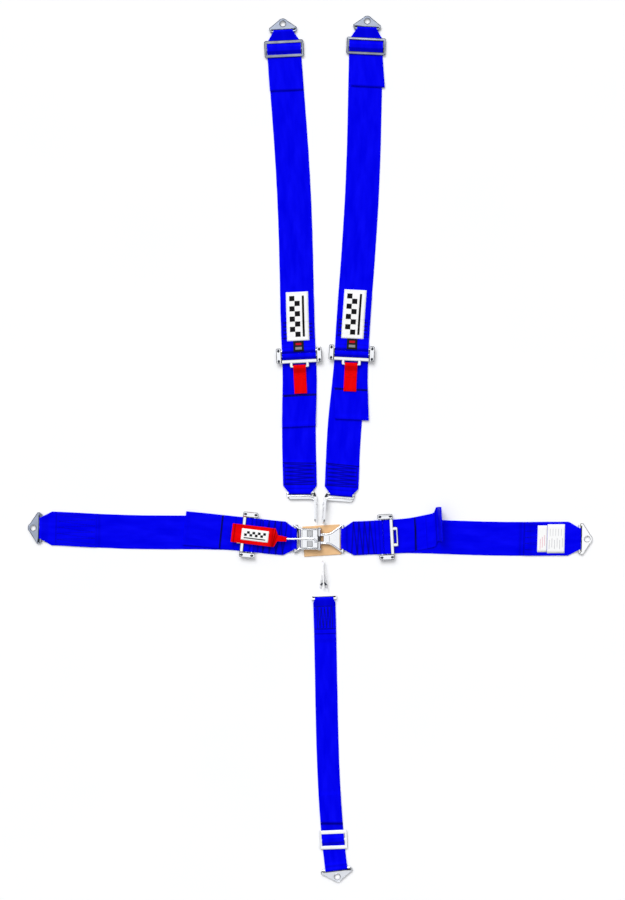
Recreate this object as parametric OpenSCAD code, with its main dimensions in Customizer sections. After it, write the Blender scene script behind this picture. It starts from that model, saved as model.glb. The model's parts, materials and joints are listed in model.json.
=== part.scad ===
// Five-point racing harness, laid out flat: a latch and link buckle, two lap belts,
// two shoulder belts and a crotch belt, with their adjusters, slides and bolt-in anchors.

/* [Webbing] */
// Width of the lap and shoulder webbing
wide_web = 76; // [74:0.5:77]
// Width of the crotch webbing
narrow_web = 50; // [46:0.5:51]
// Thickness of one layer of webbing
web_t = 1.3; // [1:0.05:1.4]

/* [Belts] */
// Left shoulder belt, anchor bar to adjuster bar
left_shoulder_run = 719; // [640:1:760]
// Right shoulder belt, anchor bar to adjuster bar
right_shoulder_run = 720; // [640:1:760]
// Left shoulder belt, adjuster to buckle fitting
left_shoulder_drop = 306; // [260:1:330]
// Right shoulder belt, adjuster to buckle fitting
right_shoulder_drop = 316; // [260:1:330]
// Left lap belt, adjuster to anchor bar
left_lap_run = 466; // [330:1:520]
// Right lap belt, adjuster to anchor bar
right_lap_run = 433; // [330:1:520]
// Crotch belt, buckle fitting to slide
crotch_run = 542; // [420:1:600]

/* [Hardware] */
// Diameter of the bolt hole in every anchor plate
bolt_hole_d = 13.2; // [10:0.1:14]
// Thickness of the anchor plates and slides
plate_t = 3; // [2.5:0.1:3]
// Diameter of the round bars that webbing wraps
bar_d = 6; // [5:0.1:6]
// Width of the latch body
latch_w = 47; // [44:0.5:50]

/* [Hidden] */
$fn = 48;
gap = 0.15;                      // air between touching layers
z0 = web_t / 2;                  // centre of the layer on the ground
z1 = z0 + web_t + gap;           // centre of the second layer
z2 = z1 + web_t + gap;           // centre of the third layer
bar_r = bar_d / 2;
eye_r = bar_r + gap + web_t / 2; // centreline of webbing round a bar
bar_z = z0 + eye_r;              // height of a bar whose eye lies on the ground
plate_bar_r = 2.5;               // rolled bar of an anchor plate
plate_eye_r = plate_bar_r + gap + web_t / 2;
plate_bar_z = z0 + plate_eye_r;
arc_steps = 5;

// Places of the five belts on the ground
buckle = [-3, -199];
left_shoulder_at = [-62.1, 941];
left_shoulder_angle = -87.2;
right_shoulder_at = [126.2, 947];
right_shoulder_angle = -92.7;
crotch_at = [30, -334];
crotch_angle = -87.8;
to_origin = [1.46, -2.95];         // puts the origin in the middle of the layout

latch_bar_x = -32.5;             // webbing bars of the latch and the link, from the buckle's middle
link_bar_x = 75;
left_loop = 94;                  // short sewn loops, bar to bar
right_loop = 87;
loop_bend = 20;                  // where a short loop turns in its plane
left_loop_yaw = -6;
right_loop_yaw = 3;

slide_bar = 6;                   // bars and slots of a three-bar slide
slide_slot = 10;
slide_reach = 1.5 * slide_bar + slide_slot;
slide_z = z1 + z0 + 0.35;        // underside of a slide, over two layers
slide_t = 2.5;

sliding_bar_s = 12;              // sliding bar, from the adjuster's fixed bar
sliding_bar_z = 1.3 + 0.1 + bar_r;
wrap_top = sliding_bar_z + bar_r + 0.1 + web_t / 2;
cheek_in = 40;                   // inside of an adjuster's cheeks
cheek_t = 2.5;
lip_s = 19;                      // back edge of an adjuster's front lip
lip_z = 8.8;                     // underside of the front lip
tab_bar_s = lip_s + 16;          // outer bar of a lift tab
tab_slot_s = tab_bar_s - 4.7;    // middle of the slot in a lift tab
tab_bar_r = 2.4;
tab_bar_z = lip_z + 1.25;
tab_web_t = 1.1;                 // red pull webbing

// ---- paths of webbing, as side profiles ----

function unit(v) = v / norm(v);
function turn(p, a) = [p[0] * cos(a) - p[1] * sin(a), p[0] * sin(a) + p[1] * cos(a)];

// The arc that rounds the corner b between a and c at radius r
function corner(a, b, c, r) =
    let (u = unit(a - b), v = unit(c - b), half = acos(max(-1, min(1, u * v))) / 2)
    r <= 0 || half > 89.5 ? [b] :
    let (middle = b + unit(u + v) * r / sin(half), p = b + u * r / tan(half) - middle,
         q = b + v * r / tan(half) - middle, first = atan2(p[1], p[0]),
         sweep = ((atan2(q[1], q[0]) - first + 540) % 360) - 180)
    [for (k = [0:arc_steps]) middle + r * [cos(first + sweep * k / arc_steps), sin(first + sweep * k / arc_steps)]];

// A smooth line through corners given as [s, z, radius]
function line_of(c) =
    let (p = [for (v = c) [v[0], v[1]]], n = len(c) - 1,
         raw = concat([p[0]], [for (i = [1:n - 1], q = corner(p[i - 1], p[i], p[i + 1], c[i][2])) q], [p[n]]))
    [for (i = [0:len(raw) - 1]) if (i == 0 || norm(raw[i] - raw[i - 1]) > 1e-4) raw[i]];

function normal_at(p, i) =
    let (n = len(p) - 1, before = i > 0 ? unit(p[i] - p[i - 1]) : [0, 0],
         after = i < n ? unit(p[i + 1] - p[i]) : [0, 0], t = unit(before + after)) [-t[1], t[0]];

function thick(p, t) =
    let (n = len(p) - 1)
    concat([for (i = [0:n]) p[i] + normal_at(p, i) * t / 2], [for (i = [n:-1:0]) p[i] - normal_at(p, i) * t / 2]);

module ribbon(corners, width, t = web_t)
    rotate([90, 0, 0]) linear_extrude(width, center = true) polygon(thick(line_of(corners), t));

// What an end of webbing keeps of its width where its corners are folded in for an eye
module end_taper(eye_width, full_width, taper, reach)
    translate([0, 0, -5]) linear_extrude(60)
        polygon([[-12, -eye_width / 2], [0, -eye_width / 2], [taper, -full_width / 2], [reach, -full_width / 2],
                 [reach, full_width / 2], [taper, full_width / 2], [0, eye_width / 2], [-12, eye_width / 2]]);

// Round a bar at s = 0, from the lower layer to the upper one
function eye(r, z) = [[-r, z - r, r], [-r, z + r, r]];

module place(p, a) translate([p[0] + to_origin[0], p[1] + to_origin[1], 0]) rotate(a) children();

// ---- where the parts of each belt are ----

function latch_bar_at() = buckle + [latch_bar_x, 0];
function link_bar_at() = buckle + [link_bar_x, 0];
function left_lap_adjuster_at() =
    latch_bar_at() + turn([loop_bend, 0], 180) + turn([left_loop - loop_bend, 0], 180 + left_loop_yaw);
function right_lap_adjuster_at() =
    link_bar_at() + turn([loop_bend, 0], 0) + turn([right_loop - loop_bend, 0], right_loop_yaw);
function along(p, a, s) = p + turn([s, 0], a);

module at_adjuster(belt) {
    if (belt == "left_lap") place(left_lap_adjuster_at(), 180 + left_loop_yaw) children();
    if (belt == "right_lap") place(right_lap_adjuster_at(), right_loop_yaw) children();
    if (belt == "left_shoulder")
        place(along(left_shoulder_at, left_shoulder_angle, left_shoulder_run), left_shoulder_angle) children();
    if (belt == "right_shoulder")
        place(along(right_shoulder_at, right_shoulder_angle, right_shoulder_run), right_shoulder_angle) children();
}

// In-plane turn of the run that leaves an adjuster
main_yaw = [["left_lap", 4.4], ["right_lap", -3.8], ["left_shoulder", -2.6], ["right_shoulder", -1.7]];
function of_belt(table, belt) = [for (row = table) if (row[0] == belt) row[1]][0];

// ---- adjusters ----

module rounded_plate(x, y, r, t) {
    linear_extrude(t) {
        translate([0, -y / 2 + r]) square([x, y - 2 * r]);
        translate([r, -y / 2]) square([x - 2 * r, y]);
        for (cx = [r, x - r], cy = [-y / 2 + r, y / 2 - r]) translate([cx, cy]) circle(r);
    }
}

// One side wall: a plate with round ends and holes for both bars, and its top edge turned outwards
module cheek(side) {
    difference() {
        translate([-6, 0, 0]) rotate([90, 0, 0]) linear_extrude(cheek_t, center = true) {
            translate([5, 0.6]) square([lip_s + 4, 11.6]);
            translate([0, 5.6]) square([lip_s + 14, 1.6]);
            for (x = [5, lip_s + 9], z = [5.6, 7.2]) translate([x, z]) circle(5);
        }
        translate([0, 0, bar_z]) rotate([90, 0, 0]) cylinder(r = bar_r + 0.02, h = 10, center = true);
        translate([sliding_bar_s, 0, sliding_bar_z]) rotate([90, 0, 0])
            cylinder(r = bar_r + 0.05, h = 10, center = true);
    }
    difference() {
        translate([-7, side * 4.3, 9.7]) rounded_plate(lip_s + 15, 11, 3, 2.5);
        for (s = [-1.5, lip_s + 3]) translate([s, side * 4.6, 9]) cylinder(r = 1.8, h = 4);
    }
}

module adjuster_frame(belt) color("gainsboro") at_adjuster(belt) {
    for (side = [-1, 1]) translate([0, side * (cheek_in + cheek_t / 2), 0]) cheek(side);
    difference() {
        union() {
            translate([lip_s, -cheek_in - 0.5, lip_z]) cube([8, 2 * cheek_in + 1, 2.5]);
            translate([lip_s + 6, 0, lip_z]) rounded_plate(12, 44, 3.5, 2.5);
        }
        translate([tab_slot_s - 2.7, -14.5, lip_z - 1]) cube([5.4, 29, 5]);
    }
}

// A round bar with a mushroomed head at each end
module headed_bar(head_t) rotate([90, 0, 0]) {
    cylinder(r = bar_r, h = 2 * (cheek_in + cheek_t) + 0.4, center = true);
    for (side = [-1, 1]) translate([0, 0, side * (cheek_in + cheek_t + 0.1 + head_t / 2)]) {
        cylinder(r = bar_r + 1, h = head_t, center = true);
        translate([0, 0, side * (head_t / 2 + 0.9)])
            cylinder(r1 = side > 0 ? bar_r + 1 : bar_r - 0.6, r2 = side > 0 ? bar_r - 0.6 : bar_r + 1, h = 1.8, center = true);
    }
}

module adjuster_fixed_bar(belt) color("silver") at_adjuster(belt) translate([0, 0, bar_z]) headed_bar(3);

module adjuster_sliding_bar(belt) color("darkgray") at_adjuster(belt)
    translate([sliding_bar_s, 0, sliding_bar_z]) headed_bar(1.6);

// ---- webbing that runs through an adjuster, with its free tail on top ----

turn_s = 24; // where the main run turns in its plane, from the sliding bar

module turned(a) translate([turn_s, 0, 0]) rotate(a) translate([-turn_s, 0, 0]) children();

// A flat free end, hemmed back over itself
function flat_end(length, hem) =
    [[length - hem, z2, 0], [length - 12, z2, 10], [length - 5, z1 + 2.4, 4], [length, z1 + 2.4, 1],
     [length, z1, 1], [15, z1, 6]];

// A free end whose last part stands up from the belt
function curled_end(flat, rise) =
    [[flat - 30, z2, 0], [flat - z1 - 0.2, z2, 12.5], [flat + 4 - z1, rise, 0.73], [flat + 4, rise, 0.73],
     [flat, z1, 14], [15, z1, 6]];

// From the free end over the sliding bar, round its back and out along the ground
module free_end_and_wrap(free_end)
    ribbon(concat(free_end, [[5, wrap_top, 5], [-eye_r - 0.05, wrap_top, eye_r],
                             [-eye_r - 0.05, z0, eye_r - 0.1], [turn_s + 14, z0, 0]]), wide_web);

// The run to a sewn eye: the eye's bar is run away from the sliding bar
module main_run(run, r, sewn, eye_width) {
    top = z0 + 2 * r;
    translate([turn_s, 0, 0]) intersection() {
        translate([run - turn_s, 0, 0]) mirror([1, 0, 0]) end_taper(eye_width, wide_web, 24, run - turn_s + 2);
        translate([run - turn_s, 0, 0]) mirror([1, 0, 0])
            ribbon([[sewn - 3, z0, 0], [-r, z0, r], [-r, top, r], [2, top, 5], [16, z1, 8], [sewn, z1, 12],
                    [sewn + 8, z0, 12], [run - turn_s + 2, z0, 0]], wide_web);
    }
}

module belt_below(belt, run, eye_radius, sewn, eye_width, free_end)
    color("blue") at_adjuster(belt) translate([sliding_bar_s, 0, 0]) {
        free_end_and_wrap(free_end);
        turned(of_belt(main_yaw, belt)) main_run(run, eye_radius, sewn, eye_width);
    }

module left_lap_webbing() belt_below("left_lap", left_lap_run, plate_eye_r, 122, 48, flat_end(143, 84));
module right_lap_webbing() belt_below("right_lap", right_lap_run, plate_eye_r, 122, 48, curled_end(108, 42));
module left_shoulder_lower_webbing()
    belt_below("left_shoulder", left_shoulder_drop, eye_r, 66, 50, flat_end(158, 72));
module right_shoulder_lower_webbing()
    belt_below("right_shoulder", right_shoulder_drop, eye_r, 66, 50, flat_end(147, 69));

// ---- short sewn loops of the lap belts ----

module half_loop(length, eye_width, taper)
    intersection() {
        end_taper(eye_width, wide_web, taper, length + 4);
        ribbon([[length, z0, 0], [-eye_r, z0, eye_r], [-eye_r, bar_z + eye_r, eye_r], [2, bar_z + eye_r, 5],
                [16, z1, 8], [length, z1, 0]], wide_web);
    }

module sewn_loop(length, yaw) {
    half_loop(loop_bend + 14, 46, 24);
    translate([loop_bend, 0, 0]) rotate(yaw) translate([length - loop_bend, 0, 0]) mirror([1, 0, 0])
        half_loop(length - loop_bend + 3, wide_web, 1);
}

module left_loop_webbing() color("blue") place(latch_bar_at(), 180) sewn_loop(left_loop, left_loop_yaw);
module right_loop_webbing() color("blue") place(link_bar_at(), 0) sewn_loop(right_loop, right_loop_yaw);

// ---- shoulder and crotch webbing with a three-bar slide ----

// Two layers rise over the slide's middle bar; lift is the layer's height above the lower one
function over_slide(s, lift, way) =
    [for (k = [0:3]) let (i = way > 0 ? k : 3 - k,
        at = [-11.5 - lift * 0.5, -4 - lift * 0.4, 4 + lift * 0.4, 11.5 + lift * 0.5][i])
        [s + at, (i == 0 || i == 3) ? z0 + lift : slide_z + slide_t + 0.1 + z0 + lift, 3 + (way > 0 ? 0 : 0)]];

module slide_webbing(run, width, eye_width, slide_s, tail_s, top_eye, sewn)
    intersection() {
        end_taper(eye_width, width, 24, run + 20);
        ribbon(concat([[tail_s, z1, 0]], over_slide(slide_s, z1 - z0, -1),
                      [[slide_s - 20, z1, 5], [1, plate_bar_z + plate_eye_r, 5]],
                      [[-plate_eye_r, plate_bar_z + plate_eye_r, plate_eye_r], [-plate_eye_r, z0, plate_eye_r]],
                      over_slide(slide_s, 0, 1),
                      [[tail_s + 6, z0, 12], [run - sewn - 60, z0, 12], [run - sewn - 52, z1, 12], [run - 16, z1, 8],
                       [run - 2, bar_z + eye_r, 5], [run + eye_r, bar_z + eye_r, eye_r], [run + eye_r, z0, eye_r],
                       [run - sewn, z0, 0]]), width);
    }

slide_s = 39;
module left_shoulder_upper_webbing() color("blue") place(left_shoulder_at, left_shoulder_angle)
    slide_webbing(left_shoulder_run, wide_web, 48, slide_s, 133, eye_r, 66);
module right_shoulder_upper_webbing() color("blue") place(right_shoulder_at, right_shoulder_angle)
    slide_webbing(right_shoulder_run, wide_web, 48, slide_s, 130, eye_r, 66);

module slide_frame(width, reach = slide_reach) {
    w = width + 12;
    difference() {
        translate([-reach, 0, slide_z]) rounded_plate(2 * reach, w, 4, slide_t);
        for (side = [-1, 1]) translate([side * (slide_bar + slide_slot) / 2, 0, slide_z + slide_t / 2])
            cube([slide_slot, width + 2, slide_t + 2], center = true);
    }
}

module left_shoulder_slide() color("gainsboro")
    place(along(left_shoulder_at, left_shoulder_angle, slide_s), left_shoulder_angle) slide_frame(wide_web);
module right_shoulder_slide() color("gainsboro")
    place(along(right_shoulder_at, right_shoulder_angle, slide_s), right_shoulder_angle) slide_frame(wide_web);

crotch_end = 66;   // slide to anchor bar
crotch_yaw = 5;    // turn of the crotch belt's anchor end
crotch_tail = 96;  // slide to the hidden tail's end
module crotch_webbing() color("blue") place(crotch_at, crotch_angle) {
    intersection() {
        end_taper(42, narrow_web, 9, crotch_run + 40);
        union() {
            ribbon([[86, z0, 0], [-eye_r, z0, eye_r], [-eye_r, bar_z + eye_r, eye_r], [2, bar_z + eye_r, 5],
                    [16, z1, 8], [90, z1, 12], [98, z0, 12], [crotch_run - crotch_tail - 12, z0, 12],
                    [crotch_run - crotch_tail - 4, z1, 12], [crotch_run - 12.2, z1, 3],
                    [crotch_run - 4.6, slide_z + slide_t + 0.1 + z1, 3],
                    [crotch_run + 4.6, slide_z + slide_t + 0.1 + z1, 3], [crotch_run + 12.2, z1, 3],
                    [crotch_run + 26, z1, 0]], narrow_web);
            ribbon([[crotch_run - crotch_tail, z0, 0], [crotch_run - 11.5, z0, 3],
                    [crotch_run - 4, slide_z + slide_t + 0.1 + z0, 3],
                    [crotch_run + 4, slide_z + slide_t + 0.1 + z0, 3], [crotch_run + 11.5, z0, 3],
                    [crotch_run + 26, z0, 0]], narrow_web);
        }
    }
    translate([crotch_run + 20, 0, 0]) rotate(crotch_yaw) translate([crotch_end - 20, 0, 0]) mirror([1, 0, 0])
        intersection() {
            end_taper(48, narrow_web, 6, crotch_end);
            ribbon([[crotch_end - 20, z0, 0], [-plate_eye_r, z0, plate_eye_r],
                    [-plate_eye_r, plate_bar_z + plate_eye_r, plate_eye_r], [2, plate_bar_z + plate_eye_r, 4],
                    [14, z1, 6], [crotch_end - 20, z1, 0]], narrow_web);
        }
}

module crotch_slide() color("white") place(along(crotch_at, crotch_angle, crotch_run), crotch_angle)
    slide_frame(narrow_web, 21.5);

// ---- anchor plates ----

hole_s = 17.5;      // bolt hole, from the webbing bar
apex_r = 11.5;      // rim round the bolt hole
plate_half = 35;

// The bar lies along y at the origin and the bolt hole is at +s
module anchor_plate(half = plate_half, slot_half = 29) {
    base = plate_bar_z - plate_t / 2;
    difference() {
        union() {
            translate([0, 0, base]) linear_extrude(plate_t) {
                polygon([[0, -half + 3], [3, -half], [8, -half], [hole_s + apex_r * 0.62, -apex_r * 0.785],
                         [hole_s + apex_r * 0.62, apex_r * 0.785], [8, half], [3, half], [0, half - 3]]);
                translate([hole_s, 0]) circle(apex_r);
            }
            translate([0, 0, plate_bar_z]) rotate([90, 0, 0]) cylinder(r = plate_bar_r, h = 2 * half - 6, center = true);
        }
        translate([plate_bar_r - 0.4, -slot_half, base - 1]) cube([2.7, 2 * slot_half, plate_t + 3]);
        translate([hole_s, 0, base - 1]) cylinder(d = bolt_hole_d, h = plate_t + 2);
    }
    // the plate's slot leaves the round bar whole
    translate([0, 0, plate_bar_z]) rotate([90, 0, 0]) cylinder(r = plate_bar_r, h = 2 * slot_half + 2, center = true);
}

module left_shoulder_anchor() color("silver") place(left_shoulder_at, left_shoulder_angle + 180) anchor_plate(31, 26);
module right_shoulder_anchor() color("silver") place(right_shoulder_at, right_shoulder_angle + 180) anchor_plate(31, 26);
module at_lap_anchor(belt, run) at_adjuster(belt) translate([sliding_bar_s, 0, 0])
    turned(of_belt(main_yaw, belt)) translate([run, 0, 0]) children();
module left_lap_anchor() color("silver") at_lap_anchor("left_lap", left_lap_run) anchor_plate();
module right_lap_anchor() color("silver") at_lap_anchor("right_lap", right_lap_run) anchor_plate();
module crotch_anchor() color("silver") place(crotch_at, crotch_angle) translate([crotch_run + 20, 0, 0])
    rotate(crotch_yaw) translate([crotch_end - 20, 0, 0]) anchor_plate();

// ---- buckle fittings of the loose belts ----

blade_t = 3;
blade_h = 20;
blade_slot = [28, 9];   // takes the link's neck
blade_lean = 12;        // lean of a shoulder blade from upright

module slot_frame(half, slot_half) {
    base = bar_z - plate_t / 2;
    difference() {
        translate([0, 0, base]) linear_extrude(plate_t)
            polygon([[0, -half], [5, -half], [15.5, -half + 6], [15.5, half - 6], [5, half], [0, half]]);
        translate([bar_r - 0.4, -slot_half, base - 1]) cube([2.8, 2 * slot_half, plate_t + 3]);
    }
    translate([0, 0, bar_z]) rotate([90, 0, 0]) cylinder(r = bar_r, h = 2 * half, center = true);
}

// An upright blade along s with a slot near its end
module blade(length)
    rotate([90, 0, 0]) linear_extrude(blade_t, center = true) difference() {
        union() {
            square([length - blade_h / 2, blade_h]);
            translate([length - blade_h / 2, blade_h / 2]) circle(blade_h / 2);
        }
        translate([length - 7 - blade_slot[0], (blade_h - blade_slot[1]) / 2]) square(blade_slot);
    }

// The blade stands off one side of the frame: side is +1 or -1 across the belt
module shoulder_fitting(belt, run, side) color("gainsboro") at_adjuster(belt)
    translate([sliding_bar_s, 0, 0]) turned(of_belt(main_yaw, belt)) translate([run, 0, 0]) {
        slot_frame(30, 26.5);
        translate([9, side * 37.5, 1.4]) rotate([side * blade_lean, 0, 0]) blade(58);
        translate([7, side * 30 - 6, bar_z - plate_t / 2]) cube([9, 12, plate_t]);
    }
module left_shoulder_fitting() shoulder_fitting("left_shoulder", left_shoulder_drop, 1);
module right_shoulder_fitting() shoulder_fitting("right_shoulder", right_shoulder_drop, -1);

module crotch_fitting() color("gainsboro") place(crotch_at, crotch_angle + 180) {
    base = bar_z - plate_t / 2;
    difference() {
        translate([0, 0, base]) linear_extrude(plate_t)
            polygon([[0, -28], [6, -28], [11, -21], [13, -10], [26, -8], [36, -2.5],
                     [36, 2.5], [26, 8], [13, 10], [11, 21], [6, 28], [0, 28]]);
        translate([bar_r - 0.4, -25, base - 1]) cube([2.8, 50, plate_t + 3]);
    }
    translate([0, 0, bar_z]) rotate([90, 0, 0]) cylinder(r = bar_r, h = 56, center = true);
    translate([24, 0, 1]) blade(62);
}

// ---- latch ----

latch_plate_t = 2.5;
latch_base_z = bar_z - latch_plate_t / 2;
latch_top = 17;         // top of the latch's side walls
pin_x = 22;
pin_z = 13.4;
pin_r = 2;
link_z = 8.1;           // middle of the link's plate in the latch
lever_z = 12;           // underside of the lever's plate
rod_r = 2.2;
rod_z = lever_z + latch_plate_t + rod_r;

module latch_base() color("gainsboro") place(buckle, 0) {
    difference() {
        translate([0, 0, latch_base_z]) linear_extrude(latch_plate_t) polygon([
            [latch_bar_x, -31], [-27, -31], [-21, -latch_w / 2], [20, -latch_w / 2],
            [20, latch_w / 2], [-21, latch_w / 2], [-27, 31], [latch_bar_x, 31]]);
        translate([latch_bar_x + bar_r - 0.3, -26, latch_base_z - 1]) cube([4.4, 52, 6]);
    }
    translate([latch_bar_x, 0, bar_z]) rotate([90, 0, 0]) cylinder(r = bar_r, h = 62, center = true);
    difference() {
        for (side = [-1, 1]) translate([-20, side * (latch_w / 2 - 1.25) - 1.25, latch_base_z])
            cube([47, 2.5, latch_top - latch_base_z]);
        translate([pin_x, 0, pin_z]) rotate([90, 0, 0]) cylinder(r = pin_r + 0.02, h = 60, center = true);
    }
    translate([-20, -latch_w / 2, latch_base_z]) cube([5, latch_w, 8]);
}

module latch_stud() color("silver") place(buckle, 0) translate([0, 0, bar_z + latch_plate_t / 2]) {
    translate([16.4, -4, 0]) cube([3.4, 8, 4.9]);
}

module link() color("gainsboro") place(buckle, 0) {
    neck = 12.2;
    intersection() {
        union() {
            rotate([90, 0, 0]) linear_extrude(80, center = true)
                polygon(thick(line_of([[8, link_z, 0], [47, link_z, 20], [66, bar_z, 12], [link_bar_x, bar_z, 0]]), 2.5));
        }
        translate([0, 0, -2]) linear_extrude(30) difference() {
            polygon([[8, -neck], [46, -neck], [link_bar_x - 3, -31], [link_bar_x, -31],
                     [link_bar_x, 31], [link_bar_x - 3, 31], [46, neck], [8, neck]]);
            translate([15.6, -6]) square([15.8, 12]);
            translate([link_bar_x - bar_r - 4.2, -26]) square([4.5, 52]);
        }
    }
    translate([link_bar_x, 0, bar_z]) rotate([90, 0, 0]) cylinder(r = bar_r, h = 62, center = true);
    // raised rims along both edges
    intersection() {
        rotate([90, 0, 0]) linear_extrude(80, center = true)
            polygon(thick(line_of([[32, link_z + 1, 0], [47, link_z + 1, 20], [66, bar_z + 1, 12], [74, bar_z + 1, 0]]), 4.4));
        translate([0, 0, -2]) linear_extrude(30) difference() {
            polygon([[32, -neck], [46, -neck], [71, -30.4], [71, 30.4], [46, neck], [32, neck]]);
            polygon([[31, -neck + 3], [44.8, -neck + 3], [67, -26], [73, -26],
                     [73, 26], [67, 26], [44.8, neck - 3], [31, neck - 3]]);
        }
    }
}

lever_half = 20.6;
module latch_lever() color("gainsboro") place(buckle, 0) {
    difference() {
        union() {
            translate([-17, -lever_half, lever_z]) cube([pin_x + 17, 2 * lever_half, latch_plate_t]);
            translate([pin_x, 0, pin_z]) rotate([90, 0, 0]) cylinder(r = 3.4, h = 2 * lever_half, center = true);
            translate([9, -7, lever_z - 1.8]) cube([4, 14, 2]);
        }
        for (side = [-1, 1]) translate([-4.5, side * 11.5 - 6.5, lever_z - 1]) cube([11, 13, 5]);
        translate([pin_x, 0, pin_z]) rotate([90, 0, 0]) cylinder(r = pin_r + 0.05, h = 60, center = true);
        translate([pin_x - 4.5, -7, lever_z - 6]) cube([9, 14, 14]);
    }
}

// The handle rod: along the lever's top, round a small crook at its end
module lever_rod() color("silver") place(buckle, 0) {
    translate([-60, 0, rod_z]) rotate([0, 90, 0]) cylinder(r = rod_r, h = 69);
    translate([9, -5, rod_z]) rotate_extrude(angle = 90) translate([5, 0]) circle(rod_r);
    translate([14, -4.9, rod_z]) rotate([90, 0, 0]) cylinder(r = rod_r, h = 4);
}

module lever_pin() color("silver") place(buckle, 0) translate([pin_x, 0, pin_z]) rotate([90, 0, 0]) {
    cylinder(r = pin_r, h = latch_w + 4, center = true);
    translate([0, 0, latch_w / 2 + 0.1]) cylinder(r = 3.4, h = 2);
}

module lever_pin_clips() color("dimgray") place(buckle, 0) translate([pin_x, 0, pin_z]) rotate([90, 0, 0])
    translate([0, 0, -latch_w / 2 - 1.2]) difference() {
        cylinder(r = 3.6, h = 1);
        translate([0, 0, -1]) cylinder(r = pin_r + 0.02, h = 3);
    }

// Torsion spring round the pin, in the lever's gap
spring_r = 3;
spring_wire = 0.5;
spring_turns = 5;
module lever_spring() color("dimgray") place(buckle, 0) translate([pin_x, 0, pin_z]) rotate([90, 0, 0])
    for (k = [-spring_turns:spring_turns]) translate([0, 0, k * 1.05]) rotate_extrude()
        translate([spring_r, 0]) circle(spring_wire);

// ---- soft pieces of the buckle ----

pull_yaw = -7;
module lever_pull() color("red") place(buckle, 0) translate([-58, 0, rod_z]) rotate(180 + pull_yaw) {
    difference() {
        union() {
            translate([12, 0, -2.6]) linear_extrude(5.2)
                polygon([[-9, -5], [0, -6], [7, -21], [103 - 1, -22], [103, -20], [103, 20], [102, 22], [7, 21], [0, 6], [-9, 5]]);
            translate([-7, 0, 0]) rotate([0, 90, 0]) cylinder(r = 4, h = 18);
        }
        rotate(-pull_yaw) translate([-14, -2.5, -2.4]) cube([19, 5, 4.8]);
    }
}
module lever_pull_label() color("white") place(buckle, 0) translate([-58, 0, rod_z]) rotate(180 + pull_yaw)
    translate([36, -13, 2.7]) cube([61, 26, 0.4]);

module leather_pad() color("burlywood") place(buckle, 3.6) translate([-16, -3, 0]) rounded_plate(84, 68, 4, 2.4);

// ---- pull tabs, labels and tags ----

tab_eye = tab_bar_r + gap + tab_web_t / 2;
module pull_tab(belt) color("red") at_adjuster(belt) translate([tab_bar_s, 0, 0])
    ribbon([[61, 5.2, 0], [12, 5.2, 8], [3, tab_bar_z - tab_eye, 3],
            [-tab_eye, tab_bar_z - tab_eye, tab_eye], [-tab_eye, tab_bar_z + tab_eye, tab_eye],
            [4, tab_bar_z + tab_eye, 4], [15, 5.2 + tab_web_t + gap, 8], [61, 5.2 + tab_web_t + gap, 0]], 29, tab_web_t);

label_t = 0.4;
on_two = z1 + z0 + 0.1;  // top of two layers
module shoulder_label(at, angle, s) color("white") place(along(at, angle, s), angle)
    translate([-55, -25, on_two]) cube([110, 50, label_t]);
module shoulder_tag(at, angle, run) color("black") place(at, angle)
    ribbon([[run - 22, z1 + 1.25, 0], [run - 16.26, z1 + 1.25, 6.7], [run - 2.26, bar_z + eye_r + 1.25, 6.25],
            [run + 2, bar_z + eye_r + 1.25, 0]], 25, 0.5);

module if_node(name) children();

module right_lap_labels(s, length, width) at_adjuster("right_lap") translate([sliding_bar_s, 0, 0])
    turned(of_belt(main_yaw, "right_lap")) translate([right_lap_run - s, -width / 2, on_two]) cube([length, width, label_t]);

latch_base();
latch_stud();
latch_lever();
lever_rod();
lever_pin();
lever_pin_clips();
lever_spring();
lever_pull();
lever_pull_label();
link();
leather_pad();
left_loop_webbing();
right_loop_webbing();
left_lap_webbing();
right_lap_webbing();
left_lap_anchor();
right_lap_anchor();
color("white") right_lap_labels(72, 39.5, 65);  // right_lap_label
color("white") right_lap_labels(94, 21.5, 60);  // right_lap_date_label
left_shoulder_upper_webbing();
right_shoulder_upper_webbing();
left_shoulder_lower_webbing();
right_shoulder_lower_webbing();
left_shoulder_slide();
right_shoulder_slide();
left_shoulder_anchor();
right_shoulder_anchor();
left_shoulder_fitting();
right_shoulder_fitting();
pull_tab("left_shoulder");  // left_shoulder_pull_tab
pull_tab("right_shoulder");  // right_shoulder_pull_tab
shoulder_label(left_shoulder_at, left_shoulder_angle, 641);  // left_shoulder_label
shoulder_label(right_shoulder_at, right_shoulder_angle, 642);  // right_shoulder_label
shoulder_tag(left_shoulder_at, left_shoulder_angle, left_shoulder_run);  // left_shoulder_tag
shoulder_tag(right_shoulder_at, right_shoulder_angle, right_shoulder_run);  // right_shoulder_tag
for (belt = ["left_lap", "right_lap", "left_shoulder", "right_shoulder"]) {
    adjuster_frame(belt);
    adjuster_fixed_bar(belt);
    adjuster_sliding_bar(belt);
}
crotch_webbing();
crotch_fitting();
crotch_slide();
crotch_anchor();
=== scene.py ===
"""A five-point racing harness laid flat: woven belts, sewn ends, polished hardware, seen from straight above."""
import json
import math
import random

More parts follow.
